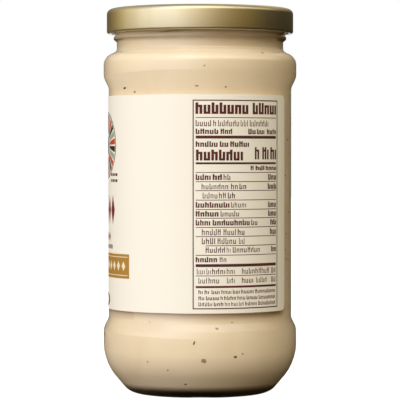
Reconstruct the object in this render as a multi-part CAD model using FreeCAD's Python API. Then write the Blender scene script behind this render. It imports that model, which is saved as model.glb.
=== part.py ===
import FreeCAD, Part
import math
import os

# A jar of white cream sauce: a blown glass jar with a lug finish, the sauce in it, a twist-off
# metal cap and a paper label that wraps most of the way round.
# Millimetres, +Z up. The origin is the centre of the bearing ring, on which the jar stands.
# Profiles are lists of (radius, height, fillet) corners, and polar angles run from +X towards +Y.

# Glass body
jar_height = 142.2          # bearing ring to sealing rim
band_d = 71.8               # the two contact bands that guard the label
panel_recess = 1.9          # depth of the label panel below the bands
wall = 2.2                  # side wall, neck and finish
foot_d = 52.4               # where the heel's cone would meet the base plane
heel_height = 11.5          # base plane to the lower band's corner
lower_band = 12.65          # corner to corner
upper_band = 7.45
band_run = 3.8              # height in which a band slopes in to the panel
shoulder_drop = 2.35        # neck corner down to the upper band's corner
foot_round = 6.0
heel_round = 17.0
band_round = 5.0
panel_round = 3.0
shoulder_round = 4.2
neck_round = 1.5

# Cavity, whose side follows the bands only softly, as blown glass does
inside_relief = 0.9         # step of the inside at the bands
inside_ease = 2.5           # how far that step runs on past the outside's, both ways
inside_round = 20.0

# Base
base_glass = 3.8            # thickness over the bearing ring
bearing_width = 6.0         # ring between the foot corner and the recess
recess_depth = 1.2
recess_draft = 1.2          # how far the recess wall leans in
push_up = 1.8               # underside dome above the recess
floor_rise = 2.6            # inside dome above the floor's edge

# Neck and lug finish
finish_d = 62.8             # wall that carries the lugs
finish_height = 8.8         # sealing rim down to the transfer bead
bead_out = 0.75             # how far the bead stands beyond that wall
bead_height = 3.1
bead_land = 0.7             # flat of the bead's tip
bead_under = 0.9            # height of the bead's underside
neck_in = 0.4               # how far the neck stands back from the finish wall
neck_height = 3.35          # transfer bead down to the shoulder's corner
rim_round = 0.8
lug_count = 4
lug_span = 70.0             # degrees that one glass lug covers
lug_low_at = -120.0         # polar angle of the first lug's low end
lug_low_z = 9.25            # low end's centre line below the rim
lug_climb = 3.7             # rise over its span
lug_out = 1.2               # how far it stands out
lug_root = 2.0              # its height at the wall
lug_tip = 0.9
lug_taper = 10.0            # degrees in which each end runs out

# Twist-off cap
sheet = 0.4                 # tinplate with its coatings
cap_height = 9.15
skirt_gap = 1.7             # glass lug tips to the skirt's inside
cap_round = 2.0             # outer top edge
step_in = 1.8               # bore to the wall of the sunk panel
step_run = 1.0              # how far that wall leans in
panel_drop = 1.1            # sunk panel below the outer ring
step_round = 0.6
button_d = 23.0             # safety button, drawn down by the vacuum
button_drop = 0.7
button_run = 1.5
curl = 1.8                  # rolled edge, both ways
curl_round = 0.85
cap_lug_width = 12.0        # degrees
cap_lug_reach = 1.2         # beyond the curl, towards the finish
cap_lug_height = 1.2
lug_clearance = 0.1
curl_clearance = 0.25       # least gap from the glass lug tips to the rolled edge

# Sauce and label
headspace = 5.9             # sealing rim down to the sauce
contact = 0.05              # keeps sauce and glass from sharing a face
label_t = 0.15
glue = 0.03
label_under = 3.5           # panel's lower corner up to the label
label_over = 3.15           # label up to the panel's upper corner
label_gap = 60.0            # degrees of bare glass between its ends
label_gap_at = 5.0          # polar angle of that gap's middle
label_corner = 2.5

AXIS = FreeCAD.Vector(0, 0, 1)
ORIGIN = FreeCAD.Vector(0, 0, 0)


def at(radius, height, angle=0.0):
    """A point on the radial plane that stands at this polar angle."""
    turn = math.radians(angle)
    return FreeCAD.Vector(radius * math.cos(turn), radius * math.sin(turn), height)


def rounded_wire(corners):
    """A closed wire through the corners, each rounded by a tangent arc no larger than fits."""
    points = [at(c[0], c[1]) for c in corners]
    count = len(points)
    starts, ends, arcs = [], [], []
    for i, here in enumerate(points):
        before, after = points[i - 1] - here, points[(i + 1) % count] - here
        room = 0.49 * min(before.Length, after.Length)
        half = before.getAngle(after) / 2
        radius = min(corners[i][2], room * math.tan(half))
        back = radius / math.tan(half) if radius > 0 else 0.0
        start = here + before.normalize() * back
        end = here + after.normalize() * back
        arc = None
        if back > 1e-6:
            centre = here + (before + after).normalize() * (radius / math.sin(half))
            middle = centre + (here - centre).normalize() * radius
            arc = Part.Arc(start, middle, end).toShape()
        starts.append(start)
        ends.append(end)
        arcs.append(arc)
    edges = []
    for i in range(count):
        if arcs[i]:
            edges.append(arcs[i])
        follows = starts[(i + 1) % count]
        if (follows - ends[i]).Length > 1e-6:
            edges.append(Part.LineSegment(ends[i], follows).toShape())
    return Part.Wire(Part.__sortEdges__(edges))


def turned(corners, angle=360.0, start=0.0):
    """The solid that the rounded outline sweeps about the jar's axis."""
    face = Part.Face(rounded_wire(corners))
    solid = face.revolve(ORIGIN, AXIS, angle)
    solid.rotate(ORIGIN, AXIS, start)
    return solid


def inset(path, walls):
    """The path moved to its left by one wall per run. Fillets follow, so that the wall keeps its thickness."""
    runs = []
    for (r0, z0, _), (r1, z1, _), thick in zip(path, path[1:], walls):
        length = math.hypot(r1 - r0, z1 - z0)
        along = ((r1 - r0) / length, (z1 - z0) / length)
        runs.append(((r0 - along[1] * thick, z0 + along[0] * thick), along))
    moved = [(*runs[0][0], 0.0)]
    for (p, d), (q, e), (_, _, fillet), thick in zip(runs, runs[1:], path[1:], walls[1:]):
        turn = d[0] * e[1] - d[1] * e[0]
        reach = ((q[0] - p[0]) * e[1] - (q[1] - p[1]) * e[0]) / turn
        radius = fillet - math.copysign(thick, turn)
        moved.append((p[0] + d[0] * reach, p[1] + d[1] * reach, max(radius, thick / 2)))
    r_end, z_end, _ = path[-1]
    last = runs[-1][1]
    moved.append((r_end - last[1] * walls[-1], z_end + last[0] * walls[-1], 0.0))
    return moved


def dome(radius, rise, height):
    """A shallow spherical cap that stands on the plane at this height."""
    sphere = (radius ** 2 + rise ** 2) / (2 * rise)
    half = math.asin(radius / sphere) / 2
    middle = at(sphere * math.sin(half), height + rise - sphere + sphere * math.cos(half))
    foot, edge, top = at(0, height), at(radius, height), at(0, height + rise)
    edges = [
        Part.LineSegment(foot, edge).toShape(),
        Part.Arc(edge, middle, top).toShape(),
        Part.LineSegment(top, foot).toShape(),
    ]
    return Part.Face(Part.Wire(edges)).revolve(ORIGIN, AXIS, 360)


# Radii and levels that several pieces share
band_r = band_d / 2
panel_r = band_r - panel_recess
finish_r = finish_d / 2
neck_r = finish_r - neck_in
bore_r = neck_r - wall
lower_top = heel_height + lower_band
panel_low = lower_top + band_run
bead_top = jar_height - finish_height
bead_low = bead_top - bead_height
neck_low = bead_low - neck_height
shoulder_z = neck_low - shoulder_drop
panel_high = shoulder_z - upper_band - band_run
recess_r = foot_d / 2 - bearing_width


def side(step, ease, band_fillet, panel_fillet):
    """The jar's side from the centre of its base up the neck. Its step at the bands runs on by ease."""
    out_r = panel_r + step
    upper_low = shoulder_z - upper_band
    return [
        (0, 0, 0),
        (foot_d / 2, 0, foot_round),
        (out_r, heel_height, heel_round),
        (out_r, lower_top - ease, band_fillet),
        (panel_r, panel_low + ease, panel_fillet),
        (panel_r, panel_high - ease, panel_fillet),
        (out_r, upper_low + ease, band_fillet),
        (out_r, shoulder_z, shoulder_round),
        (neck_r, neck_low, neck_round),
        (neck_r, jar_height, 0),
    ]


def cavity(clearance):
    """The inner profile of the glass, with a clearance inside it."""
    path = side(inside_relief, inside_ease, inside_round, inside_round)
    return inset(path, [base_glass + clearance] + [wall + clearance] * (len(path) - 2))


def floor_dome(inside):
    """The rise in the middle of the jar's floor, within the flat of this inner profile."""
    corner_r, floor, fillet = inside[1]
    return dome(corner_r - fillet, floor_rise, floor)


def sauce():
    inside = cavity(contact)
    level = jar_height - headspace
    body = turned(inside[:-1] + [(inside[-1][0], level, 0), (0, level, 0)])
    return body.cut(floor_dome(inside))


def lug_level(angle):
    """Centre line of a glass lug, this many degrees on from its low end."""
    return jar_height - lug_low_z + lug_climb * angle / lug_span


def glass_lug(start):
    """One sloped lug, whose ends run out into the wall of the finish."""
    sections = []
    steps = 7
    for i in range(steps + 1):
        angle = lug_span * i / steps
        level = lug_level(angle)
        share = min(1.0, angle / lug_taper, (lug_span - angle) / lug_taper)
        tip = finish_r - 0.1 + (lug_out + 0.1) * share
        root = finish_r - wall / 3
        corners = [
            at(root, level - lug_root / 2, start + angle),
            at(tip, level - lug_tip / 2, start + angle),
            at(tip, level + lug_tip / 2, start + angle),
            at(root, level + lug_root / 2, start + angle),
        ]
        sections.append(Part.makePolygon(corners + corners[:1]))
    return Part.makeLoft(sections, True, False)


def glass_jar():
    bead_r = finish_r + bead_out
    bead_round = bead_land / 2
    underside = [
        (0, recess_depth, 0),
        (recess_r - recess_draft, recess_depth, recess_draft),
        (recess_r, 0, recess_draft / 2),
    ]
    finish = [
        (neck_r, bead_low, bead_round),
        (bead_r, bead_low + bead_under, bead_round),
        (bead_r, bead_low + bead_under + bead_land, bead_round),
        (finish_r, bead_top, bead_round),
        (finish_r, jar_height, rim_round),
        (bore_r, jar_height, rim_round),
    ]
    outside = side(panel_recess, 0, band_round, panel_round)
    inside = cavity(0)
    body = turned(underside + outside[1:-1] + finish + inside[-2::-1])
    body = body.cut(dome(recess_r - 2 * recess_draft, push_up, recess_depth))
    lugs = [glass_lug(lug_low_at + 360 / lug_count * i) for i in range(lug_count)]
    return body.fuse(lugs + [floor_dome(inside)]).removeSplitter()


def label():
    low, high = panel_low + label_under, panel_high - label_over
    inner = panel_r + glue
    start = label_gap_at + label_gap / 2
    strip = turned(
        [(inner, low, 0), (inner + label_t, low, 0), (inner + label_t, high, 0), (inner, high, 0)],
        360 - label_gap,
        start,
    )
    corners = [e for e in strip.Edges if abs(e.Length - label_t) < 1e-4 and isinstance(e.Curve, Part.Line)]
    return strip.makeFillet(label_corner, corners)


def cap():
    top = jar_height + sheet
    outer = finish_r + lug_out + max(skirt_gap + sheet, curl_clearance + curl)
    low = top - cap_height
    panel = top - panel_drop
    button = panel - button_drop
    button_r = button_d / 2
    step_r = bore_r - step_in
    inner = outer - sheet
    upper = [
        (outer, low + curl, 0),
        (outer, top, cap_round),
        (step_r, top, step_round),
        (step_r - step_run, panel, step_round),
        (button_r, panel, button_run),
        (button_r - button_run, button, button_run),
        (0, button, 0),
    ]
    under = inset(upper, [sheet] * (len(upper) - 1))
    rolled = [
        (outer - curl, low + curl, curl_round),
        (outer - curl, low, curl_round),
        (outer, low, curl_round),
    ]
    shell = turned(upper[1:] + under[:0:-1] + [(inner, low + curl, 0)] + rolled)
    reach = outer - curl - cap_lug_reach
    tab = [
        (reach, low, curl_round / 2),
        (outer - curl / 2, low, 0),
        (outer - curl / 2, low + cap_lug_height, 0),
        (reach, low + cap_lug_height, curl_round / 2),
    ]
    seated = low + cap_lug_height + lug_clearance + lug_root / 2 - lug_level(0)
    turn = seated * lug_span / lug_climb
    tabs = [
        turned(tab, cap_lug_width, lug_low_at + turn + 360 / lug_count * i) for i in range(lug_count)
    ]
    return shell.fuse(tabs).removeSplitter()


NODES = {
    "glass_jar": glass_jar(),
    "sauce": sauce(),
    "cap": cap(),
    "label": label(),
}

os.makedirs("parts", exist_ok=True)
for name, shape in NODES.items():
    solid = shape.Solids[0] if len(shape.Solids) == 1 else shape
    solid.exportStep(f"parts/{name}.step")
    box = solid.BoundBox
    print(f"{name}: {len(shape.Solids)} solid, valid {solid.isValid()}, {solid.Volume / 1000:.1f} cm3,"
          f" z {box.ZMin:.2f} to {box.ZMax:.2f}, {box.XLength:.2f} x {box.YLength:.2f}")
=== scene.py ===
"""A glass jar of white cream sauce: blown glass, the sauce with its herbs and pepper, a twist-off
cap and a paper label with its print. Metres, +Z up, the front of the label faces -X."""

import math
import random

import bmesh
import bpy
from bpy.props import FloatProperty, FloatVectorProperty, IntProperty, PointerProperty
from mathutils import Matrix, Vector, noise
from mathutils.bvhtree import BVHTree


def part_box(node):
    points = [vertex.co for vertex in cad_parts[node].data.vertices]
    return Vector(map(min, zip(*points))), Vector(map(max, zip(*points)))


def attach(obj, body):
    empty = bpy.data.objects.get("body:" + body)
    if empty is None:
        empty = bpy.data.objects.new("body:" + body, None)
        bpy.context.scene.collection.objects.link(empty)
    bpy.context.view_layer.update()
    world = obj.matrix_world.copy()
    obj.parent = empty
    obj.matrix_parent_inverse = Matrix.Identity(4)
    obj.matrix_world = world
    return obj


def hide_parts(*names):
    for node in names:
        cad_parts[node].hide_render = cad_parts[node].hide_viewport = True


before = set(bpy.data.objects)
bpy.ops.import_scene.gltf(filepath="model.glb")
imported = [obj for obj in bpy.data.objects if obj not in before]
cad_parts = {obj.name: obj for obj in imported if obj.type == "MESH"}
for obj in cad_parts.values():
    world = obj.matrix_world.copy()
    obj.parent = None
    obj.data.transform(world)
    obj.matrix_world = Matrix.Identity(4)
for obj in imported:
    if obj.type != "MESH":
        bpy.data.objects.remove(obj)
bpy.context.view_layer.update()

bl_info = {
    "name": "Sauce Jar",
    "version": (1, 0, 0),
    "blender": (4, 5, 0),
    "location": "3D View > Sidebar > Sauce Jar",
    "description": "Builds a glass jar of cream sauce with its cap, label, print and studio",
    "category": "Object",
}

MM = 0.001
_, GLASS_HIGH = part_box("glass_jar")
CAP_LOW, CAP_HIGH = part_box("cap")
SAUCE_LOW, SAUCE_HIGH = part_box("sauce")
LABEL_LOW, LABEL_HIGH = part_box("label")


def size(millimetres, name, description):
    """A length property, whose default is given in millimetres."""
    kind = {"subtype": "DISTANCE", "unit": "LENGTH", "precision": 5}
    return FloatProperty(name=name, description=description, default=millimetres * MM, **kind)


def turn(degrees, name, description):
    """An angle property, whose default is given in degrees."""
    kind = {"subtype": "ANGLE", "unit": "ROTATION"}
    return FloatProperty(name=name, description=description, default=math.radians(degrees), **kind)


def count(number, name, description, least=1):
    """A whole number."""
    return IntProperty(name=name, description=description, default=number, min=least)


def group(kind, name, description):
    """A group of properties."""
    return PointerProperty(type=kind, name=name, description=description)


def linear(red, green, blue):
    """Scene-linear values of a colour that is written as 0 to 255."""
    shares = [value / 255 for value in (red, green, blue)]
    return tuple(s / 12.92 if s <= 0.04045 else ((s + 0.055) / 1.055) ** 2.4 for s in shares)


def colour(red, green, blue, name, description):
    """A colour property, whose default is written as 0 to 255."""
    kind = {"subtype": "COLOR", "size": 3, "min": 0.0, "max": 1.0}
    shade = linear(red, green, blue)
    return FloatVectorProperty(name=name, description=description, default=shade, **kind)


class GlassSizes(bpy.types.PropertyGroup):
    """The blown glass."""

    rim: size(GLASS_HIGH.z / MM, "Rim height", "Bearing ring to sealing rim")
    band_r: size(GLASS_HIGH.x / MM, "Band radius", "Outside of the two bands")
    panel_recess: size(1.9, "Panel recess", "Depth of the panel below the bands")
    wall: size(2.2, "Wall", "Thickness of the glass")
    inside_relief: size(0.9, "Inside relief", "The bands' step on the inside")
    inside_ease: size(2.5, "Inside ease", "Run past the outside's step")
    inside_round: size(20.0, "Inside rounding", "Radius of that softer step")
    foot_r: size(26.2, "Foot radius", "Where the heel meets the base")
    heel_height: size(11.5, "Heel height", "Base to the lower band")
    lower_band: size(12.65, "Lower band", "Corner to corner")
    upper_band: size(7.45, "Upper band", "Corner to corner")
    band_run: size(3.8, "Band slope", "Height of a band's slope")
    shoulder_drop: size(2.35, "Shoulder drop", "Neck down to the upper band")
    foot_round: size(6.0, "Foot rounding", "Heel to bearing ring")
    heel_round: size(17.0, "Heel rounding", "Heel to lower band")
    band_round: size(5.0, "Band rounding", "Where a band turns in")
    panel_round: size(3.0, "Panel rounding", "At the ends of the panel")
    shoulder_round: size(4.2, "Shoulder rounding", "Upper band to shoulder")
    neck_round: size(1.5, "Neck rounding", "Shoulder to neck")
    base_glass: size(3.8, "Base glass", "Glass over the bearing ring")
    bearing_width: size(6.0, "Bearing width", "Foot corner to recess")
    recess_depth: size(1.2, "Recess depth", "Depth of the recess in the base")
    recess_draft: size(1.2, "Recess draft", "Lean of the recess's wall")
    push_up: size(1.8, "Push-up", "Dome of the underside")
    floor_rise: size(2.6, "Floor rise", "Dome of the inside floor")
    knurl_depth: size(0.4, "Knurl depth", "Height of the ribs")
    knurls: count(174, "Knurls", "Ribs round the bearing ring")
    finish_r: size(31.4, "Finish radius", "Wall that carries the lugs")
    finish_height: size(8.8, "Finish height", "Rim down to the transfer bead")
    bead_out: size(0.75, "Bead", "Reach beyond the finish wall")
    bead_height: size(3.1, "Bead height", "Top to bottom of the bead")
    bead_land: size(0.7, "Bead land", "Flat of the bead's tip")
    bead_under: size(0.9, "Bead underside", "Height of its underside")
    neck_in: size(0.4, "Neck step", "Set back from the finish wall")
    neck_height: size(3.35, "Neck height", "Bead down to the shoulder")
    rim_round: size(0.8, "Rim rounding", "Radius of the sealing rim")
    lugs: count(4, "Lugs", "Sloped lugs round the finish")
    lug_span: turn(70, "Lug span", "Angle that one lug covers")
    lug_start: turn(-120, "Lug start", "Polar angle of the first lug's low end")
    lug_taper: turn(10, "Lug taper", "Angle of each end's run-out")
    lug_low: size(9.25, "Lug low end", "Low end below the rim")
    lug_climb: size(3.7, "Lug climb", "Rise of a lug over its span")
    lug_out: size(1.2, "Lug reach", "How far a lug stands out")
    lug_root: size(2.0, "Lug root", "Height of a lug at the wall")
    lug_tip: size(0.9, "Lug tip", "Height of a lug at its tip")


class CapSizes(bpy.types.PropertyGroup):
    """The twist-off cap."""

    top: size(CAP_HIGH.z / MM, "Top", "Height of the cap")
    low: size(CAP_LOW.z / MM, "Lower edge", "Underside of the rolled edge")
    radius: size(CAP_HIGH.x / MM, "Radius", "Outside of the skirt")
    sheet: size(0.4, "Sheet", "Tinplate with its coatings")
    edge_round: size(2.0, "Top rounding", "Top to skirt")
    step_r: size(27.0, "Step radius", "Edge of the sunk panel")
    step_run: size(1.0, "Step run", "How far the step leans in")
    step_round: size(0.6, "Step rounding", "Both corners of the step")
    panel_drop: size(1.1, "Panel drop", "Sunk panel below the ring")
    button_r: size(11.5, "Button radius", "Safety button of the panel")
    button_drop: size(0.7, "Button drop", "Draw of the vacuum")
    button_run: size(1.5, "Button run", "Slope round the button")
    curl: size(1.8, "Curl", "Rolled edge, both ways")
    curl_round: size(0.85, "Curl rounding", "Radius of the rolled edge")
    lug_width: turn(12, "Lug width", "Angle of each lug")
    lug_reach: size(1.2, "Lug reach", "Reach in from the curl")
    lug_height: size(1.2, "Lug height", "Height of each lug")
    lug_start: turn(-67, "Lug start", "Polar angle of the first lug's end")


class FillSizes(bpy.types.PropertyGroup):
    """The sauce and what is in it."""

    level: size(SAUCE_HIGH.z / MM, "Level", "Height of the sauce")
    into_wall: size(0.15, "Into the wall", "Reach into the glass")
    flecks: count(26, "Flecks", "Scattered flecks of each kind", least=0)
    seed: count(7, "Seed", "Start of the scatter", least=0)


class LabelSizes(bpy.types.PropertyGroup):
    """The paper label. Angles run from -Y towards +X."""

    low: size(LABEL_LOW.z / MM, "Lower edge", "Height of the lower edge")
    high: size(LABEL_HIGH.z / MM, "Upper edge", "Height of the upper edge")
    radius: size(34.03, "Inner radius", "Radius of the glued side")
    paper: size(0.15, "Paper", "Thickness of the paper")
    ink: size(0.018, "Ink", "Thickness of the print")
    corner: size(2.5, "Corner", "Radius of the corners")
    gap: turn(60, "Gap", "Bare glass between the ends")
    gap_at: turn(95, "Gap's middle", "Middle of the gap")
    front_at: turn(-85, "Front", "Middle of the front")
    panel_at: turn(-4.44, "Table", "Left side of the table")


class JarColours(bpy.types.PropertyGroup):
    """Colours of the finishes and inks."""

    glass: colour(252, 253, 251, "Glass", "Tint of the flint glass")
    sauce: colour(244, 226, 193, "Sauce", "Cream of the sauce")
    sauce_deep: colour(237, 215, 178, "Sauce, deeper", "Darker swirls of the sauce")
    herb: colour(188, 156, 110, "Herb", "Dried herb flecks")
    pepper: colour(118, 103, 86, "Pepper", "Pepper flecks")
    spice: colour(160, 104, 66, "Spice", "Reddish-brown flecks")
    lacquer: colour(203, 193, 159, "Lacquer", "Gold lacquer of the cap")
    lacquer_deep: colour(192, 180, 142, "Lacquer, deeper", "Where the lacquer lies thicker")
    paper: colour(254, 249, 233, "Paper", "Ground of the label")
    brown: colour(88, 38, 34, "Brown ink", "Table and small marks")
    crimson: colour(122, 20, 34, "Crimson ink", "Large lozenges of the front")
    orange: colour(204, 66, 24, "Orange ink", "Badge")
    sage: colour(158, 176, 148, "Sage ink", "Badge leaves")
    dark: colour(34, 26, 22, "Dark ink", "Badge's rim and middle")
    gold: colour(180, 134, 48, "Gold ink", "Band below the lozenges")
    cream: colour(247, 236, 206, "Cream ink", "Marks on the gold band")


class JarSettings(bpy.types.PropertyGroup):
    """All of the jar's settings."""

    glass: group(GlassSizes, "Glass", "Sizes of the glass")
    cap: group(CapSizes, "Cap", "Sizes of the cap")
    fill: group(FillSizes, "Fill", "Level and flecks")
    label: group(LabelSizes, "Label", "Sizes of the label")
    colours: group(JarColours, "Colours", "Finishes and inks")


# Shaders


class Maths:
    """A number that varies over a surface. An expression on it adds Math nodes."""

    def __init__(self, shader, socket):
        self.shader = shader
        self.socket = socket

    def calculate(self, operation, *values, clamp=False):
        sockets = dict(enumerate(values))
        made = self.shader.node("Math", sockets, operation=operation, use_clamp=clamp)
        return Maths(self.shader, made.outputs[0])

    def __add__(self, other):
        return self.calculate("ADD", self, other)

    __radd__ = __add__

    def __sub__(self, other):
        return self.calculate("SUBTRACT", self, other)

    def __mul__(self, other):
        return self.calculate("MULTIPLY", self, other)

    __rmul__ = __mul__

    def __pow__(self, other):
        return self.calculate("POWER", self, other)

    def clamped(self):
        return self.calculate("ADD", self, 0.0, clamp=True)


class Shader:
    """The node tree of a material or world, which is being filled."""

    def __init__(self, owner):
        owner.use_nodes = True
        self.owner = owner
        self.tree = owner.node_tree
        self.tree.nodes.clear()

    def node(self, kind, sockets=None, **settings):
        """Makes a node: its type, the values or links of its sockets, and its settings."""
        made = self.tree.nodes.new("ShaderNode" + kind)
        for key, value in settings.items():
            setattr(made, key, value)
        for key, value in (sockets or {}).items():
            if isinstance(value, Maths):
                value = value.socket
            if isinstance(value, bpy.types.NodeSocket):
                self.tree.links.new(value, made.inputs[key])
            else:
                made.inputs[key].default_value = value
        return made

    def number(self, node, output):
        """An output of a node as a number that expressions can use."""
        return Maths(self, node.outputs[output])

    def vector(self, operation, *values):
        """A Vector Math node."""
        return self.node("VectorMath", dict(enumerate(values)), operation=operation)

    def place(self, scale=(1.0, 1.0, 1.0)):
        """Object coordinates, stretched."""
        where = self.node("TexCoord").outputs["Object"]
        return self.node("Mapping", {"Vector": where, "Scale": scale}).outputs["Vector"]

    def grain(self, scale, detail=3.0, vector=None, **more):
        """A noise from 0 to 1, in cycles per metre."""
        sockets = {"Vector": vector or self.place(), "Scale": scale, "Detail": detail, **more}
        return self.number(self.node("TexNoise", sockets), "Fac")

    def blend(self, factor, first, second):
        """A mix of two colours, each three shares or a link."""
        linked = bpy.types.NodeSocket
        ends = [end if isinstance(end, linked) else (*end, 1.0) for end in (first, second)]
        sockets = dict(zip((0, 6, 7), (factor, *ends)))
        return self.node("Mix", sockets, data_type="RGBA").outputs[2]

    def bump(self, height, distance, strength):
        """The normal that a height gives, for a relief of this depth in metres."""
        sockets = {"Height": height, "Distance": distance, "Strength": strength}
        return self.node("Bump", sockets).outputs["Normal"]

    def finish(self, surface, target="OutputMaterial"):
        """Ends the tree in its output."""
        self.node(target, {"Surface": surface.outputs[0]})

    def material(self, base, sockets):
        """Ends the tree in one surface of this colour with these other sockets."""
        self.finish(self.node("BsdfPrincipled", {"Base Color": base, **sockets}))
        return self.owner


def new_material(name):
    """The shader of a new material."""
    return Shader(bpy.data.materials.new(name))


def glass_finish(colours):
    """Flint glass: clear, with a faint ripple from the mould."""
    shader = new_material("flint_glass")
    ripple = shader.grain(90.0, detail=2.0, vector=shader.place((1.0, 1.0, 0.5)))
    wear = shader.grain(700.0, detail=4.0)
    sockets = {
        "Roughness": wear * 0.03,
        "IOR": 1.5,
        "Transmission Weight": 1.0,
        "Normal": shader.bump(ripple, 0.25 * MM, 0.35),
    }
    return shader.material((*colours.glass, 1.0), sockets)


def sauce_finish(colours):
    """Cream sauce: soft swirls and small curds, matt where it wets the glass."""
    shader = new_material("cream_sauce")
    swirl = shader.grain(70.0, Distortion=0.8)
    curds = shader.grain(900.0, detail=2.0)
    mixed = (swirl * 1.5 - 0.45 + curds * 0.35).clamped()
    sockets = {
        "Roughness": 0.4 + 0.2 * curds,
        "Specular IOR Level": 0.0,
        "Normal": shader.bump(curds, 0.1 * MM, 0.3),
    }
    return shader.material(shader.blend(mixed, colours.sauce, colours.sauce_deep), sockets)


def fleck_finish(name, shade):
    """Dried leaf or pepper: one hue, uneven in depth."""
    shader = new_material(name)
    uneven = shader.grain(1800.0)
    deep = [0.55 * value for value in shade]
    sockets = {"Roughness": 0.5 + 0.3 * uneven, "Specular IOR Level": 0.0}
    return shader.material(shader.blend(uneven, shade, deep), sockets)


def lacquer_finish(colours):
    """Gold lacquer over tinplate: satin, with rolling grain and a fine orange peel."""
    shader = new_material("gold_lacquer")
    rolled = shader.grain(55.0, detail=4.0, vector=shader.place((1.0, 6.0, 1.0)))
    peel = shader.grain(1500.0, detail=2.0)
    sockets = {
        "Metallic": 1.0,
        "Roughness": 0.33 + 0.08 * rolled,
        "Coat Weight": 0.7,
        "Coat Roughness": 0.3,
        "Normal": shader.bump(peel, 0.01 * MM, 0.5),
    }
    return shader.material(shader.blend(rolled, colours.lacquer, colours.lacquer_deep), sockets)


def paper_finish(colours):
    """Label paper: smooth sized stock with a fine felt of fibres."""
    shader = new_material("label_stock")
    felt = shader.place((1.0, 1.0, 2.5))
    fibres = shader.grain(2600.0, detail=4.0, Roughness=0.6, vector=felt)
    cloud = shader.grain(60.0)
    shaded = [value * share for value, share in zip(colours.paper, (0.965, 0.96, 0.94))]
    mixed = (cloud * 0.6 + fibres * 0.5 - 0.1).clamped()
    sockets = {
        "Roughness": 0.55 + 0.1 * fibres,
        "Specular IOR Level": 0.2,
        "Normal": shader.bump(fibres, 0.01 * MM, 0.4),
    }
    return shader.material(shader.blend(mixed, colours.paper, shaded), sockets)


def ink_finish(name, shade):
    """Printing ink: slightly mottled where the paper shows through."""
    shader = new_material(name)
    mottle = shader.grain(3200.0)
    thin = [value * 0.82 + 0.09 for value in shade]
    sockets = {"Roughness": 0.45 + 0.15 * mottle, "Specular IOR Level": 0.15}
    return shader.material(shader.blend((mottle * 1.6 - 0.7).clamped(), shade, thin), sockets)


# Shapes

ARC_STEP = math.radians(8)  # turn of one segment in a rounding
WELD = 1e-7  # metres
BEVEL_SHARE = 0.49  # of a run, at most, for the rounding at each end
DOME_SHARE = 0.96  # of the knee, for the rounding of a dome
DOME_EDGE = 0.3 * MM
SAUCE_STEPS, CAP_STEPS = 180, 288


def bearing(azimuth, elevation):
    """A direction from its azimuth, in degrees from -Y towards +X, and its elevation."""
    a, e = math.radians(azimuth), math.radians(elevation)
    return Vector((math.sin(a) * math.cos(e), -math.cos(a) * math.cos(e), math.sin(e)))


def round_off(bm, verts, offset, segments):
    """Rounds these corners."""
    how = {"offset_type": "OFFSET", "profile": 0.5, "affect": "VERTICES", "material": -1}
    bmesh.ops.bevel(bm, geom=verts, offset=offset, segments=segments, **how)


def merge(bm, part):
    """Moves the part's mesh into this one."""
    passed = bpy.data.meshes.new("part")
    part.to_mesh(passed)
    part.free()
    bm.from_mesh(passed)
    bpy.data.meshes.remove(passed)


def flat_sheet(bm, left, right, low, high, columns=1):
    """A rectangle on the XY plane, in this many upright strips."""
    placed = Matrix.Translation(((left + right) / 2, (low + high) / 2, 0.0))
    placed @= Matrix.Diagonal((right - left, high - low, 1.0, 1.0))
    bmesh.ops.create_grid(bm, x_segments=columns, y_segments=1, size=0.5, matrix=placed)


def outline(bm, corners):
    """An open wire on the XZ plane through (radius, height, rounding) corners, rounded by arcs."""
    verts = [bm.verts.new((r, 0.0, z)) for r, z, _ in corners]
    for pair in zip(verts, verts[1:]):
        bm.edges.new(pair)
    for vert, before, here, after in zip(verts[1:], corners, corners[1:], corners[2:]):
        come = Vector((here[0] - before[0], here[1] - before[1]))
        leave = Vector((after[0] - here[0], after[1] - here[1]))
        bend = come.angle(leave)
        back = here[2] * math.tan(bend / 2)
        if back > WELD:
            offset = min(back, BEVEL_SHARE * min(come.length, leave.length))
            round_off(bm, [vert], offset, max(2, round(bend / ARC_STEP)))


def turn_round(bm, steps, angle=math.tau, start=0.0):
    """Turns the wire about the Z axis into a skin with its faces outwards."""
    bmesh.ops.rotate(bm, verts=bm.verts, matrix=Matrix.Rotation(start, 3, "Z"))
    wire = bm.verts[:] + bm.edges[:]
    full = math.isclose(angle, math.tau)
    bmesh.ops.spin(bm, geom=wire, axis=(0, 0, 1), angle=angle, steps=steps, use_merge=full)
    bmesh.ops.remove_doubles(bm, verts=bm.verts, dist=WELD)
    bmesh.ops.recalc_face_normals(bm, faces=bm.faces)


def inset(path, walls):
    """The path moved to its left by one wall per run, with roundings that keep its thickness."""
    runs = []
    for (r0, z0, _), (r1, z1, _), thick in zip(path, path[1:], walls):
        along = Vector((r1 - r0, z1 - z0)).normalized()
        runs.append((Vector((r0 - along.y * thick, z0 + along.x * thick)), along))
    moved = [(*runs[0][0], 0.0)]
    for (p, d), (q, e), (_, _, rounding), thick in zip(runs, runs[1:], path[1:], walls[1:]):
        swing = d.x * e.y - d.y * e.x
        reach = ((q.x - p.x) * e.y - (q.y - p.y) * e.x) / swing
        radius = rounding - math.copysign(thick, swing)
        moved.append((*(p + d * reach), max(radius, thick / 2)))
    r_end, z_end, _ = path[-1]
    last = runs[-1][1]
    moved.append((r_end - last.y * walls[-1], z_end + last.x * walls[-1], 0.0))
    return moved


def dome(radius, rise, height):
    """Corners of a shallow rise, from the axis down to its edge."""
    knee = radius / 2
    top = height + rise
    rounding = DOME_SHARE * knee / math.tan(math.atan2(rise, radius - knee) / 2)
    return [(0.0, top, 0.0), (knee, top, rounding), (radius, height, DOME_EDGE)]


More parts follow.
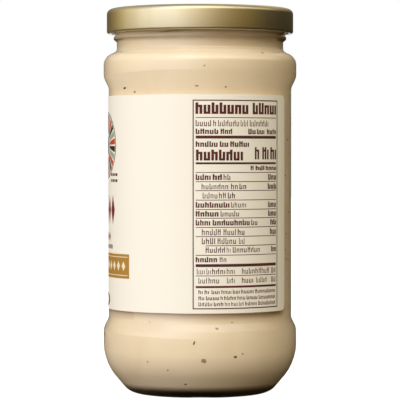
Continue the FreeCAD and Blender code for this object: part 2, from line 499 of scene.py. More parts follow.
def side_path(s, relief, ease, soft):
    """The jar's side from the middle of its base to its rim, for this step at its bands."""
    lower_top = s.heel_height + s.lower_band
    neck_low = s.rim - s.finish_height - s.bead_height - s.neck_height
    shoulder = neck_low - s.shoulder_drop
    upper_low = shoulder - s.upper_band
    panel_r = s.band_r - s.panel_recess
    band_r = panel_r + relief
    neck_r = s.finish_r - s.neck_in
    return [
        (0.0, 0.0, 0.0),
        (s.foot_r, 0.0, s.foot_round),
        (band_r, s.heel_height, s.heel_round),
        (band_r, lower_top - ease, soft or s.band_round),
        (panel_r, lower_top + s.band_run + ease, soft or s.panel_round),
        (panel_r, upper_low - s.band_run - ease, soft or s.panel_round),
        (band_r, upper_low + ease, soft or s.band_round),
        (band_r, shoulder, s.shoulder_round),
        (neck_r, neck_low, s.neck_round),
        (neck_r, s.rim, 0.0),
    ]


def inner_path(s, into=0.0):
    """The cavity's side, from the middle of the floor up, this far into the glass."""
    path = side_path(s, s.inside_relief, s.inside_ease, s.inside_round)
    inside = inset(path, [s.base_glass - into] + [s.wall - into] * (len(path) - 2))
    corner_r, floor, rounding = inside[1]
    return dome(corner_r - rounding, s.floor_rise, floor) + inside[1:]


def lug_rise(s, polar, height):
    """How far a lug stands out of the finish wall at this polar angle and height."""
    along = (polar - s.lug_start) % (math.tau / s.lugs)
    if along >= s.lug_span:
        return 0.0
    level = s.rim - s.lug_low + s.lug_climb * along / s.lug_span
    share = min(1.0, along / s.lug_taper, (s.lug_span - along) / s.lug_taper)
    slope = (s.lug_root / 2 - abs(height - level)) / ((s.lug_root - s.lug_tip) / 2)
    flank = min(1.0, max(0.0, slope))
    return s.lug_out * share * flank * flank * (3 - 2 * flank)


def make_object(name, bm, material):
    """A finished mesh becomes an object of the scene."""
    mesh = bpy.data.meshes.new(name)
    bm.to_mesh(mesh)
    bm.free()
    mesh.materials.append(material)
    made = bpy.data.objects.new(name, mesh)
    bpy.context.scene.collection.objects.link(made)
    return made


def make_piece(name, bm, material, replaces=(), crease=40):
    """A finished mesh becomes a piece that rides on the jar."""
    made = make_object(name, bm, material)
    made.data.shade_smooth()
    made.data.set_sharp_from_angle(angle=math.radians(crease))
    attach(made, "root")
    if replaces:
        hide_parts(*replaces)
    return made


LUG_STEP = 0.35 * MM  # longest edge where the lugs stand out
LEAST_RISE = 0.001 * MM  # below this a lug has run out
KNURL_ZONE = 0.8 * MM  # the ribs run out at this height


class JAR_OT_glass(bpy.types.Operator):
    """Blow the jar: bands, heel, knurled base, neck, bead and lug finish"""

    bl_idname = "jar.glass"
    bl_label = "Glass"

    def execute(self, context):
        settings = context.scene.sauce_jar
        s = settings.glass
        recess_r = s.foot_r - s.bearing_width
        bead_top = s.rim - s.finish_height
        bead_low = bead_top - s.bead_height
        bead_r = s.finish_r + s.bead_out
        bead_round = s.bead_land / 2
        neck_r = s.finish_r - s.neck_in
        outside = dome(recess_r - 2 * s.recess_draft, s.push_up, s.recess_depth)
        outside += [
            (recess_r - s.recess_draft, s.recess_depth, s.recess_draft),
            (recess_r, 0.0, s.recess_draft / 2),
        ]
        outside += side_path(s, s.panel_recess, 0.0, 0.0)[1:-1]
        outside += [
            (neck_r, bead_low, bead_round),
            (bead_r, bead_low + s.bead_under, bead_round),
            (bead_r, bead_low + s.bead_under + s.bead_land, bead_round),
            (s.finish_r, bead_top, bead_round),
            (s.finish_r, s.rim, s.rim_round),
            (neck_r - s.wall, s.rim, s.rim_round),
        ]
        inside = inner_path(s)[:-1]
        bm = bmesh.new()
        outline(bm, outside + inside[::-1])
        lug_zone = s.rim - s.lug_low - s.lug_root
        for edge in bm.edges[:]:
            low = min(vert.co.z for vert in edge.verts)
            near = min(vert.co.x for vert in edge.verts)
            length = edge.calc_length()
            if near > neck_r and low > lug_zone and length > 2 * LUG_STEP:
                bmesh.ops.subdivide_edges(bm, edges=[edge], cuts=int(length / LUG_STEP))
        steps = 2 * s.knurls
        turn_round(bm, steps)
        for vert in bm.verts:
            radius = math.hypot(vert.co.x, vert.co.y)
            polar = math.atan2(vert.co.y, vert.co.x)
            if vert.co.z < KNURL_ZONE and radius > recess_r - s.recess_draft:
                valley = round(polar / math.tau * steps) % 2
                vert.co.z += s.knurl_depth * valley * (1 - vert.co.z / KNURL_ZONE)
            elif radius > neck_r and vert.co.z > lug_zone:
                target = s.finish_r + lug_rise(s, polar, vert.co.z)
                if target > max(radius, s.finish_r + LEAST_RISE):
                    vert.co.x *= target / radius
                    vert.co.y *= target / radius
        looks = glass_finish(settings.colours)
        piece = make_piece("glass_body", bm, looks, ["glass_jar"], crease=60)
        # Light reaches what is behind the glass without the noise of refracted rays.
        piece.visible_shadow = False
        piece.visible_diffuse = False
        return {"FINISHED"}


def sauce_shell(settings):
    """The sauce's closed skin."""
    s, fill = settings.glass, settings.fill
    path = inner_path(s, fill.into_wall)
    top_r = path[-1][0]
    bm = bmesh.new()
    outline(bm, path[:-1] + [(top_r, fill.level, 0.0), (0.0, fill.level, 0.0)])
    turn_round(bm, SAUCE_STEPS)
    return bm


class JAR_OT_sauce(bpy.types.Operator):
    """Fill the jar with sauce, up to its level and just into the wall of the glass"""

    bl_idname = "jar.sauce"
    bl_label = "Sauce"

    def execute(self, context):
        settings = context.scene.sauce_jar
        bm = sauce_shell(settings)
        make_piece("sauce_fill", bm, sauce_finish(settings.colours), ["sauce"])
        return {"FINISHED"}


# Flecks that lie against the glass where it shows: angle from -Y towards +X, height, length, width
HERBS = [
    (-2.0, 113.3, 1.3, 0.8), (10.5, 25.6, 1.4, 0.7), (44.0, 124.2, 1.0, 0.6),
    (-46.0, 111.3, 1.2, 0.7), (68.0, 84.0, 0.9, 0.6), (2.3, 14.6, 1.9, 1.6),
]
PEPPERS = [
    (-3.6, 20.8, 0.6, 1.5), (-56.0, 112.9, 1.7, 1.0), (16.4, 112.9, 0.7, 0.6),
    (20.6, 27.9, 0.6, 0.5), (2.7, 120.4, 0.6, 0.5), (67.5, 43.0, 0.6, 0.8),
]
SPICES = [
    (22.2, 15.8, 1.4, 0.9), (27.0, 16.8, 0.7, 0.5), (-10.4, 6.2, 1.1, 0.7),
    (-34.5, 13.9, 0.6, 0.5), (-21.0, 11.2, 0.7, 0.5), (-33.5, 27.8, 0.6, 0.4),
]
# The scattered ones, in degrees and millimetres
BACK_ARC = (110, 278)
GAP_ARC = (-26, 26)  # from the middle of the label's gap
GAP_SHARE = 0.2
FOOT_CLEAR, LABEL_CLEAR, BEAD_CLEAR = 2.5, 0.5, 1.0  # bare strips that they keep to
FLECK_LENGTH = (0.5, 1.5)
FLECK_WIDTH = (0.5, 0.95)  # shares of the length
FLECK_THICK = 0.1
FLECK_SWING = 0.5  # radians, either way
RAGGED, RAG_SCALE = 0.45, 1.7


class JAR_OT_flecks(bpy.types.Operator):
    """Scatter herb, pepper and spice flecks against the glass, where the label leaves it bare"""

    bl_idname = "jar.flecks"
    bl_label = "Flecks"

    def scatter(self, dice, settings):
        """A random place where the glass shows, with a random size."""
        s, label = settings.glass, settings.label
        bands = [
            (SAUCE_LOW.z + FOOT_CLEAR * MM, label.low - LABEL_CLEAR * MM),
            (label.high + LABEL_CLEAR * MM, s.rim - s.finish_height - BEAD_CLEAR * MM),
        ]
        if dice.random() < GAP_SHARE:
            angle = math.degrees(label.gap_at) + dice.uniform(*GAP_ARC)
            height = dice.uniform(label.low, label.high)
        else:
            angle = dice.uniform(*BACK_ARC)
            height = dice.uniform(*dice.choice(bands))
        long = dice.uniform(*FLECK_LENGTH)
        return angle, height / MM, long, long * dice.uniform(*FLECK_WIDTH)

    def fleck(self, bm, dice, surface, place):
        """One thin, ragged flake that lies on the sauce's skin."""
        angle, height, long, wide = place
        outward = bearing(angle, 0)
        far = outward * 2 * GLASS_HIGH.x + Vector((0, 0, height * MM))
        spot, normal, _, _ = surface.ray_cast(far, -outward)
        if spot is None:
            raise RuntimeError(f"no sauce behind a fleck at {angle:.0f} degrees, {height:.0f} mm")
        stretch = Matrix.Diagonal((long / 2 * MM, wide / 2 * MM, FLECK_THICK * MM, 1.0))
        lie = normal.to_track_quat("Z", "Y").to_matrix().to_4x4()
        swing = Matrix.Rotation(dice.uniform(-FLECK_SWING, FLECK_SWING), 4, "Z")
        made = bmesh.ops.create_icosphere(bm, subdivisions=2, radius=1.0)
        shift = Vector((dice.uniform(0, 90), dice.uniform(0, 90), 0.0))
        for vert in made["verts"]:
            ragged = 1.0 + RAGGED * noise.noise(vert.co * RAG_SCALE + shift)
            vert.co.x *= ragged
            vert.co.y *= ragged
            vert.co = Matrix.Translation(spot) @ lie @ swing @ stretch @ vert.co

    def execute(self, context):
        settings = context.scene.sauce_jar
        skin = sauce_shell(settings)
        surface = BVHTree.FromBMesh(skin)
        skin.free()
        kinds = {"herb": HERBS, "pepper": PEPPERS, "spice": SPICES}
        for index, (kind, placed) in enumerate(kinds.items()):
            dice = random.Random(settings.fill.seed + index)
            bm = bmesh.new()
            for place in placed:
                self.fleck(bm, dice, surface, place)
            for _ in range(settings.fill.flecks):
                self.fleck(bm, dice, surface, self.scatter(dice, settings))
            bmesh.ops.recalc_face_normals(bm, faces=bm.faces)
            name = kind + "_flecks"
            make_piece(name, bm, fleck_finish(name, getattr(settings.colours, kind)))
        return {"FINISHED"}


TAB_ROUND = 0.4 * MM  # rounding at the tip of each of the cap's lugs
TAB_LIFT = 0.01 * MM  # of its underside above the rolled edge's


class JAR_OT_cap(bpy.types.Operator):
    """Press the cap: ring, sunk panel, safety button, skirt, rolled edge and lugs"""

    bl_idname = "jar.cap"
    bl_label = "Cap"

    def execute(self, context):
        settings = context.scene.sauce_jar
        c = settings.cap
        panel = c.top - c.panel_drop
        button = panel - c.button_drop
        upper = [
            (c.radius, c.low + c.curl, 0.0),
            (c.radius, c.top, c.edge_round),
            (c.step_r, c.top, c.step_round),
            (c.step_r - c.step_run, panel, c.step_round),
            (c.button_r, panel, c.button_run),
            (c.button_r - c.button_run, button, c.button_run),
            (0.0, button, 0.0),
        ]
        under = inset(upper, [c.sheet] * (len(upper) - 1))
        rolled = [
            (c.radius - c.sheet, c.low + c.curl, 0.0),
            (c.radius - c.curl, c.low + c.curl, c.curl_round),
            (c.radius - c.curl, c.low, c.curl_round),
            (c.radius, c.low, c.curl_round),
        ]
        bm = bmesh.new()
        outline(bm, under[:0:-1] + rolled + upper[1:])
        turn_round(bm, CAP_STEPS)
        root, reach = c.radius - c.curl / 2, c.radius - c.curl - c.lug_reach
        low, high = c.low + TAB_LIFT, c.low + c.lug_height
        tab = [(root, low), (root, high), (reach, high), (reach, low)]
        for index in range(settings.glass.lugs):
            made = bmesh.new()
            verts = [made.verts.new((r, 0.0, z)) for r, z in tab]
            made.faces.new(verts)
            made.verts.index_update()
            tip = [vert for vert in verts if vert.co.x < reach + WELD]
            round_off(made, tip, TAB_ROUND, 3)
            start = c.lug_start + math.tau / settings.glass.lugs * index
            turn_round(made, 8, c.lug_width, start)
            bmesh.ops.holes_fill(made, edges=made.edges, sides=0)
            bmesh.ops.recalc_face_normals(made, faces=made.faces)
            merge(bm, made)
        looks = lacquer_finish(settings.colours)
        make_piece("cap_shell", bm, looks, ["cap"], crease=50)
        return {"FINISHED"}


# Label

STRIPS = 150  # of the label, round the jar
STRIP = 1.2  # widest strip of a mark, in millimetres
RINGS = 6  # of a disc
OVERLAP = 0.02 * MM  # how deep a mark reaches below its layer


def wrap(bm, label, thick, lift):
    """Gives a flat sheet its thickness and bends it round the jar, this far off the label. Its x
    runs from -Y towards +X, y is height and z is outwards."""
    bmesh.ops.recalc_face_normals(bm, faces=bm.faces)
    bmesh.ops.reverse_faces(bm, faces=[face for face in bm.faces if face.normal.z < 0])
    bmesh.ops.solidify(bm, geom=bm.faces, thickness=thick)
    radius = label.radius + label.paper
    for vert in bm.verts:
        angle = vert.co.x / radius
        reach = radius + lift + vert.co.z
        vert.co = Vector((reach * math.sin(angle), -reach * math.cos(angle), vert.co.y))
    bmesh.ops.recalc_face_normals(bm, faces=bm.faces)


class JAR_OT_label(bpy.types.Operator):
    """Cut the label with its rounded corners and wrap it round the panel of the jar"""

    bl_idname = "jar.label"
    bl_label = "Label"

    def execute(self, context):
        settings = context.scene.sauce_jar
        label = settings.label
        radius = label.radius + label.paper
        length = radius * (math.tau - label.gap)
        start = radius * (label.gap_at + label.gap / 2 - math.tau)
        bm = bmesh.new()
        flat_sheet(bm, start, start + length, label.low, label.high)
        round_off(bm, bm.verts[:], label.corner, 8)
        for index in range(1, STRIPS):
            whole = bm.verts[:] + bm.edges[:] + bm.faces[:]
            cut = (start + length * index / STRIPS, 0, 0)
            bmesh.ops.bisect_plane(bm, geom=whole, plane_co=cut, plane_no=(1, 0, 0), dist=WELD)
        wrap(bm, label, label.paper, 0.0)
        make_piece("label_sheet", bm, paper_finish(settings.colours), ["label"])
        return {"FINISHED"}


class Print:
    """One ink's flat shapes, in millimetres right of and above a point of the label."""

    def __init__(self, label, angle, height):
        self.label = label
        self.x = (label.radius + label.paper) * angle
        self.y = height
        self.bm = bmesh.new()

    def bar(self, left, right, low, high):
        """An upright rectangle, in strips short enough to bend."""
        sides = [self.x + left * MM, self.x + right * MM, self.y + low * MM, self.y + high * MM]
        flat_sheet(self.bm, *sides, columns=math.ceil((right - left) / STRIP))

    def disc(self, x, y, outer, inner=0.0, sides=64, first=0.0, sweep=math.tau, squash=1.0):
        """A disc, ring, wedge or lozenge. squash narrows it sideways."""
        part = bmesh.new()
        radii = [inner + (outer - inner) * index / RINGS for index in range(RINGS + 1)]
        verts = [part.verts.new((radius * MM, 0.0, 0.0)) for radius in radii]
        for pair in zip(verts, verts[1:]):
            part.edges.new(pair)
        turn_round(part, sides, sweep, first)
        bmesh.ops.scale(part, vec=(squash, 1.0, 1.0), verts=part.verts)
        bmesh.ops.translate(part, vec=(self.x + x * MM, self.y + y * MM, 0.0), verts=part.verts)
        merge(self.bm, part)

    def press(self, name, shade, layer=1):
        """Bends the shapes and makes them a piece. Higher layers lie on top."""
        lift = self.label.ink * layer
        wrap(self.bm, self.label, lift + OVERLAP, lift)
        make_piece(name, self.bm, ink_finish(name, shade))


# The table on the side of the label, in millimetres. Each row is its top and bottom below the
# label's upper edge, its weight, and the spans of its words from the left side of the frame.
FRAME_W, FRAME_TOP, FRAME_LOW, FRAME_LINE = 35.8, 2.0, 77.2, 0.4
COLUMN_L, COLUMN_R = 1.1, 34.8
# Weights: stroke width, gap between strokes and the share of the row that a low stroke fills
HEAVY, BOLD = (1.0, 0.42, 0.8), (0.54, 0.28, 0.76)
LIGHT, FINE = (0.29, 0.42, 0.7), (0.28, 0.32, 0.74)
ROWS = [
    (3.0, 7.1, HEAVY, (1.0, 20.9), (22.8, 34.9)),
    (9.3, 11.5, LIGHT, (1.1, 6.6), (7.4, 8.4), (9.2, 17.1), (17.8, 20.7), (21.6, 30.3)),
    (12.4, 14.3, BOLD, (1.1, 9.2), (10.1, 14.4), (20.9, 24.1), (24.7, 28.3), (29.6, 34.9)),
    (16.9, 18.9, BOLD, (1.1, 9.0), (9.8, 12.9), (13.7, 21.2)),
    (19.9, 23.8, HEAVY, (1.2, 18.7)),
    (19.0, 23.4, HEAVY, (23.8, 25.7), (27.3, 30.5), (31.5, 34.9)),
    (25.7, 27.3, BOLD, (21.9, 23.2), (24.1, 28.3), (29.0, 34.9)),
    (28.7, 30.8, BOLD, (1.1, 6.5), (7.2, 10.6), (30.3, 34.9)),
    (28.7, 30.8, LIGHT, (11.2, 13.7)),
    (32.1, 34.1, LIGHT, (3.2, 12.9), (14.0, 16.6), (17.3, 20.0)),
    (32.1, 34.1, BOLD, (30.1, 34.9)),
    (35.3, 37.4, LIGHT, (3.6, 8.9), (9.5, 12.0), (12.8, 15.5)),
    (38.7, 40.7, BOLD, (1.1, 13.4), (30.3, 34.8)),
    (38.7, 40.7, LIGHT, (14.0, 19.9)),
    (41.9, 43.9, BOLD, (1.1, 9.3), (30.3, 34.8)),
    (41.9, 43.9, LIGHT, (10.1, 17.1)),
    (45.1, 47.1, BOLD, (1.1, 6.3), (7.2, 21.5), (31.5, 34.8)),
    (45.1, 47.1, LIGHT, (22.2, 24.9)),
    (48.4, 50.6, LIGHT, (3.3, 10.1), (11.2, 15.9), (16.6, 19.3)),
    (48.4, 50.6, BOLD, (31.3, 34.8)),
    (51.6, 53.8, LIGHT, (3.3, 8.1), (9.0, 15.9), (17.1, 19.3)),
    (54.9, 56.9, LIGHT, (4.7, 11.7), (12.4, 13.8), (14.7, 20.2), (20.7, 26.0)),
    (54.9, 56.9, BOLD, (32.0, 34.8)),
    (58.4, 60.3, BOLD, (1.1, 8.8)),
    (58.4, 60.3, LIGHT, (9.8, 12.2)),
    (62.6, 64.6, LIGHT, (1.5, 4.3), (5.0, 6.5), (7.0, 11.8), (12.4, 15.4), (18.3, 25.1),
     (25.6, 30.7), (32.0, 34.5)),
    (65.9, 67.9, LIGHT, (2.1, 5.1), (5.7, 9.5), (12.5, 15.4), (18.3, 23.0), (24.4, 29.4),
     (32.0, 34.5)),
    (70.3, 71.7, FINE, (2.1, 3.6), (4.3, 5.9), (6.8, 9.7), (10.4, 14.1), (14.7, 17.4),
     (18.0, 23.2), (23.9, 34.3)),
    (72.5, 73.9, FINE, (2.1, 4.1), (4.8, 9.5), (10.1, 10.9), (11.4, 15.9), (16.5, 19.6),
     (20.2, 24.9), (25.6, 34.3)),
    (74.7, 76.1, FINE, (2.1, 7.0), (7.6, 11.1), (11.7, 13.5), (14.1, 16.5), (17.1, 18.9),
     (19.6, 24.6), (25.3, 34.3)),
]
TALL_SHARE = 0.2  # of the strokes after a word's first
BEAM_HIGH, BEAM_WIDE = 0.2, 0.9  # most of the row, or of a stroke, for a join
LAP_SHARE = 0.3  # of a stroke, under each end of a join
TABLE_SEED = 11
# Rules across the table: height of the middle below the upper edge, thickness and left end
HAIRLINE, MEDIUM, THICK = 0.26, 0.74, 1.05
HAIRLINES = (8.4, 28.1, 31.4, 34.6, 38.0, 41.4, 44.5, 47.8, 51.1, 57.8, 65.2)
RULES = [(middle, HAIRLINE, COLUMN_L) for middle in HAIRLINES] + [
    (15.4, THICK, COLUMN_L),
    (24.8, MEDIUM, COLUMN_L),
    (54.4, HAIRLINE, 4.7),
    (61.5, THICK, COLUMN_L),
    (69.2, MEDIUM, COLUMN_L),
]


class JAR_OT_table(bpy.types.Operator):
    """Print the framed table of plain marks on the side of the label"""

    bl_idname = "jar.table"
    bl_label = "Table of marks"

    def words(self, ink, dice, row):
        """A row of plain strokes, some joined in pairs, that stands in for small print."""
        row_top, row_low, (stroke, gap, low_share), *spans = row
        height = row_low - row_top
        lap = stroke * LAP_SHARE
        for start, end in spans:
            strokes = max(1, round((end - start + gap) / (stroke + gap)))
            pitch = (end - start + gap) / strokes
            joined = True
            for index in range(strokes):
                x = start + index * pitch
                tall = index == 0 or dice.random() < TALL_SHARE
                rise = height * (1.0 if tall else low_share)
                ink.bar(x, x + pitch - gap, -row_low, rise - row_low)
                joined = not joined and index > 0
                if joined:
                    beam = min(height * BEAM_HIGH, (pitch - gap) * BEAM_WIDE)
                    foot = dice.choice((0.0, height * low_share - beam)) - row_low
                    ink.bar(x - gap - lap, x + lap, foot, foot + beam)

    def execute(self, context):
        settings = context.scene.sauce_jar
        ink = Print(settings.label, settings.label.panel_at, settings.label.high)
        for x in (0.0, FRAME_W - FRAME_LINE):
            ink.bar(x, x + FRAME_LINE, -FRAME_LOW, -FRAME_TOP)
        for y in (-FRAME_TOP, FRAME_LINE - FRAME_LOW):
            ink.bar(FRAME_LINE, FRAME_W - FRAME_LINE, y - FRAME_LINE, y)
        for middle, thick, start in RULES:
            ink.bar(start, COLUMN_R, -middle - thick / 2, thick / 2 - middle)
        dice = random.Random(TABLE_SEED)
        for row in ROWS:
            self.words(ink, dice, row)
        ink.press("table_ink", settings.colours.brown)
        return {"FINISHED"}


def abreast(number, pitch):
    """The middles of marks that stand side by side about the middle line."""
    return [(index - (number - 1) / 2) * pitch for index in range(number)]


# The front's marks, in millimetres from its middle line and above the base
BADGE_Z, BADGE_R, BADGE_RIM, BADGE_HUB = 92.0, 12.3, 0.5, 3.6
WEDGES, WEDGE_OUTER, WEDGE_INNER = 24, 11.4, 4.6
WEDGE_LEAD, WEDGE_SHARE = 0.12, 0.76
WEDGE_INKS = ("orange", "sage", "dark")
DASHES = (-12.6, -10.2, -7.8, 7.8, 10.2, 12.6)
# Bars: ink, middles, half width, lower and upper edge
BARS = [
    ("brown", DASHES, 0.9, 78.5, 79.5),
    ("brown", DASHES, 0.9, 80.7, 81.7),
    ("brown", abreast(7, 2.6), 0.8, 53.9, 55.4),
    ("gold", [0.0], 21.5, 43.3, 52.2),
    ("cream", [0.0], 20.6, 44.3, 44.55),
    ("cream", [0.0], 20.6, 51.0, 51.25),
]
# Lozenges: ink, middles, width, height, and how high their middles stand
LOZENGES = [
    ("crimson", abreast(5, 4.6), 3.8, 11.0, 68.2),
    ("crimson", abreast(5, 2.5), 1.9, 3.6, 58.3),
    ("cream", abreast(11, 3.6), 2.4, 3.6, 47.8),
]
SEAL_Z, SEAL_OUTER, SEAL_INNER, SEAL_SQUASH = 35.0, 2.6, 1.4, 1.8
LAYERS = {"dark": 1, "orange": 1, "sage": 1, "crimson": 1, "brown": 1, "gold": 1, "cream": 2}


class JAR_OT_front(bpy.types.Operator):
    """Print the front: a pinwheel badge, rows of lozenges and a gold band"""

    bl_idname = "jar.front"
    bl_label = "Front"

    def execute(self, context):
        settings = context.scene.sauce_jar
        label = settings.label
        inks = {name: Print(label, label.front_at, 0.0) for name in LAYERS}
        inks["dark"].disc(0.0, BADGE_Z, BADGE_R, BADGE_R - BADGE_RIM)
        inks["dark"].disc(0.0, BADGE_Z, BADGE_HUB)
        step = math.tau / WEDGES
        for index in range(WEDGES):
            ink = inks[WEDGE_INKS[index % len(WEDGE_INKS)]]
            turns = {"first": step * (index + WEDGE_LEAD), "sweep": step * WEDGE_SHARE}
            ink.disc(0.0, BADGE_Z, WEDGE_OUTER, WEDGE_INNER, sides=4, **turns)
        for name, middles, reach, low, high in BARS:
            for x in middles:
                inks[name].bar(x - reach, x + reach, low, high)
        for name, middles, width, height, z in LOZENGES:
            for x in middles:
                inks[name].disc(x, z, height / 2, sides=4, squash=width / height)
        inks["dark"].disc(0.0, SEAL_Z, SEAL_OUTER, SEAL_INNER, squash=SEAL_SQUASH)
        for name, layer in LAYERS.items():
            inks[name].press(name + "_ink", getattr(settings.colours, name), layer)
        return {"FINISHED"}


# Stage

PAINTED_CONTACT_SHADOW_R = 0.045  # metres: inside this, metal and glass see a painted shadow on the floor by the jar
PAINTED_CONTACT_SHADOW_FADE = 0.115
PAINTED_SHADOW_R = 0.022  # metres: inside this the floor's colour under the jar is darkest, a painted shadow
PAINTED_SHADOW_SLOPE = 30.0  # per metre
PAINTED_LIGHT_SLOPE = (-14.0, -5.0, 0.0)  # per metre: painted light, the floor's colour brightens towards the front on the left
PAINTED_LIGHT_START = 0.4
FLOOR_REACH = 4.0  # metres
# The floor's dull colour, from painted shade to painted light
FLOOR_PAINTED_SHADE, FLOOR_PAINTED_LIGHT = (0.022, 0.016, 0.01), (0.2, 0.155, 0.1)
FLOOR_PALE, FLOOR_GLOW = 0.3, 0.93
BACKDROP_SLOPE, BACKDROP_EDGE = 120.0, 118.6
WHITE = (1.0, 1.0, 1.0)
LENS, SENSOR = 207.4, 36.0
CAMERA_AT, CAMERA_AIM = Vector((0.0, -0.860, 0.0878)), Vector((0.0, 0.0, 0.0716))
# Soft lights round the jar: azimuth from -Y towards +X, elevation, how closely each is gathered,
# and its red, green and blue
SOFTBOXES = [
    (-115, 6, 14, 0.36, 0.24, 0.0),
    (-90, 6, 14, 0.9, 0.85, 0.72),
    (-65, 6, 14, 1.25, 1.25, 1.37),
    (-40, 6, 14, 1.19, 1.16, 1.36),
    (-15, 6, 14, 0.79, 0.75, 0.79),
    (10, 6, 14, 0.39, 0.32, 0.24),
    (35, 6, 14, 0.3, 0.2, 0.05),
    (60, 6, 14, 0.2, 0.13, 0.01),
    (-70, -12, 12, 0.64, 0.63, 0.63),
    (-20, -18, 12, 0.51, 0.52, 0.58),
    (35, -18, 14, 0.05, 0.04, 0.03),
    (-110, 28, 14, 0.39, 0.29, 0.15),
    (-35, 26, 14, 1.21, 1.24, 1.33),
    (0, 26, 14, 0.67, 0.52, 0.29),
    (-90, 42, 14, 0.58, 0.59, 0.66),
    (-50, 42, 14, 0.84, 0.95, 1.17),
    (-15, 42, 14, 0.84, 0.86, 0.86),
    (20, 42, 14, 0.49, 0.29, 0.1),
    (-40, 50, 40, 0.88, 0.99, 1.12),
    (-20, 50, 40, 1.07, 1.22, 1.36),
    (0, 48, 40, 1.22, 1.36, 1.5),
    (20, 46, 40, 1.38, 1.52, 1.64),
    (40, 44, 40, 1.62, 1.7, 1.72),
    (60, 41, 50, 1.51, 1.48, 1.33),
    (78, 37, 60, 1.27, 1.19, 0.99),
    (94, 33, 60, 1.17, 1.05, 0.82),
    (110, 28, 60, 0.68, 0.57, 0.39),
    (160, 44, 12, 0.97, 0.86, 0.64),
    (-150, 40, 12, 0.49, 0.47, 0.41),
    (-40, 70, 14, 0.29, 0.35, 0.45),
    (40, 74, 14, 0.64, 0.55, 0.39),
]
AMBIENT = (0.02, 0.014, 0.006)


def lobe(shader, way, azimuth, elevation, sharpness=1.0):
    """1 in this direction, falling off to 0 at right angles to it."""
    facing = shader.vector("DOT_PRODUCT", way, bearing(azimuth, elevation))
    return shader.number(facing, "Value").clamped() ** sharpness


def backdrop(shader, way):
    """1 straight behind the jar, where the white backdrop stands, and 0 elsewhere."""
    return (lobe(shader, way, 180, 0) * BACKDROP_SLOPE - BACKDROP_EDGE).clamped()


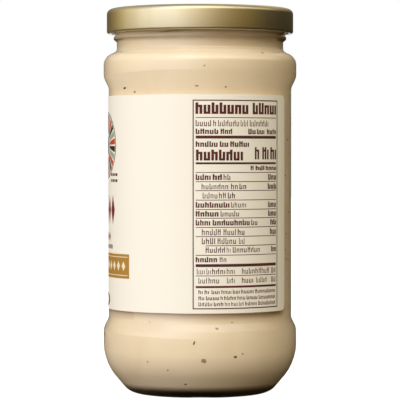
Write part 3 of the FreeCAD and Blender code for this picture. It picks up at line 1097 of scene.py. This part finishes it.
class JAR_OT_stage(bpy.types.Operator):
    """Set the floor, the white surround with its soft lights, and the camera"""

    bl_idname = "jar.stage"
    bl_label = "Stage"

    def floor(self):
        """A floor that the camera, metal and glass see as white, with the jar's shadow. Its dull
        colour holds painted shadow under the jar and painted light towards the front on the left,
        and metal and glass see painted shadow near the jar.
        """
        shader = new_material("studio_floor")
        path = shader.node("LightPath")
        here = shader.node("TexCoord").outputs["Object"]
        out = shader.number(shader.vector("LENGTH", here), "Value")
        way = shader.vector("NORMALIZE", here).outputs[0]
        # Metal and glass see the white floor too, except near the jar, where painted shadow stands
        # in for the jar's own shadow.
        clear = ((out - PAINTED_CONTACT_SHADOW_R) * (1 / PAINTED_CONTACT_SHADOW_FADE)).clamped() * backdrop(shader, way)
        mirrored = shader.number(path, "Is Glossy Ray") + shader.number(path, "Is Transmission Ray")
        seen = (shader.number(path, "Is Camera Ray") + mirrored * clear).clamped()
        # Painted light and shade in the floor's dull colour: lighter towards the front on the left,
        # darkest under the jar
        side = shader.number(shader.vector("DOT_PRODUCT", here, PAINTED_LIGHT_SLOPE), "Value")
        painted_light = (side + PAINTED_LIGHT_START).clamped() * ((out - PAINTED_SHADOW_R) * PAINTED_SHADOW_SLOPE).clamped()
        tone = 0.9 + 0.1 * shader.grain(3.0, detail=2.0)
        shade = shader.blend(painted_light * tone, FLOOR_PAINTED_SHADE, FLOOR_PAINTED_LIGHT)
        dull_with_painted_light = shader.node("BsdfDiffuse", {"Color": shade})
        pale = shader.node("BsdfDiffuse", {"Color": (*[FLOOR_PALE] * 3, 1.0)})
        glow = shader.node("Emission", {"Color": (*WHITE, 1.0), "Strength": FLOOR_GLOW})
        white = shader.node("AddShader", {0: pale.outputs[0], 1: glow.outputs[0]})
        both = {0: seen, 1: dull_with_painted_light.outputs[0], 2: white.outputs[0]}
        shader.finish(shader.node("MixShader", both))
        bm = bmesh.new()
        flat_sheet(bm, -FLOOR_REACH, FLOOR_REACH, -FLOOR_REACH, FLOOR_REACH)
        make_object("floor", bm, shader.owner)

    def surround(self, context):
        """White behind the jar for the camera, metal and glass, and soft lights round it."""
        world = bpy.data.worlds.new("studio")
        context.scene.world = world
        shader = Shader(world)
        path = shader.node("LightPath")
        way = shader.node("TexCoord").outputs["Generated"]
        room = AMBIENT
        for azimuth, elevation, sharpness, *light in SOFTBOXES:
            spread = lobe(shader, way, azimuth, elevation, sharpness)
            room = shader.vector("MULTIPLY_ADD", light, spread, room).outputs[0]
        studio = shader.blend(backdrop(shader, way), room, WHITE)
        seen = shader.blend(shader.number(path, "Is Camera Ray"), studio, WHITE)
        ground = shader.node("Background", {"Color": seen, "Strength": 1.0})
        shader.finish(ground, "OutputWorld")

    def execute(self, context):
        scene = context.scene
        scene.view_settings.view_transform = "Standard"
        self.floor()
        self.surround(context)
        data = bpy.data.cameras.new("camera")
        data.lens = LENS
        data.sensor_width = SENSOR
        made = bpy.data.objects.new("camera", data)
        made.location = CAMERA_AT
        made.rotation_euler = (CAMERA_AT - CAMERA_AIM).to_track_quat("Z", "Y").to_euler()
        scene.collection.objects.link(made)
        scene.camera = made
        return {"FINISHED"}


class JAR_PT_panel(bpy.types.Panel):
    """Lists the steps that build the jar."""

    bl_idname = "JAR_PT_panel"
    bl_label = "Sauce Jar"
    bl_space_type = "VIEW_3D"
    bl_region_type = "UI"
    bl_category = "Sauce Jar"

    def draw(self, context):
        for step in STEPS:
            self.layout.operator(step.bl_idname)


GROUPS = (GlassSizes, CapSizes, FillSizes, LabelSizes, JarColours, JarSettings)
FILLED_JAR = (JAR_OT_glass, JAR_OT_sauce, JAR_OT_flecks, JAR_OT_cap)
STEPS = (JAR_OT_stage, *FILLED_JAR, JAR_OT_label, JAR_OT_table, JAR_OT_front)
CLASSES = (*GROUPS, *STEPS, JAR_PT_panel)


def register():
    for made in CLASSES:
        bpy.utils.register_class(made)
    bpy.types.Scene.sauce_jar = group(JarSettings, "Sauce jar", "All of the jar's settings")


def unregister():
    del bpy.types.Scene.sauce_jar
    for made in reversed(CLASSES):
        bpy.utils.unregister_class(made)


def main():
    register()
    bpy.ops.jar.stage()
    bpy.ops.jar.glass()
    bpy.ops.jar.sauce()
    bpy.ops.jar.flecks()
    bpy.ops.jar.cap()
    bpy.ops.jar.label()
    bpy.ops.jar.table()
    bpy.ops.jar.front()


if __name__ == "__main__":
    main()
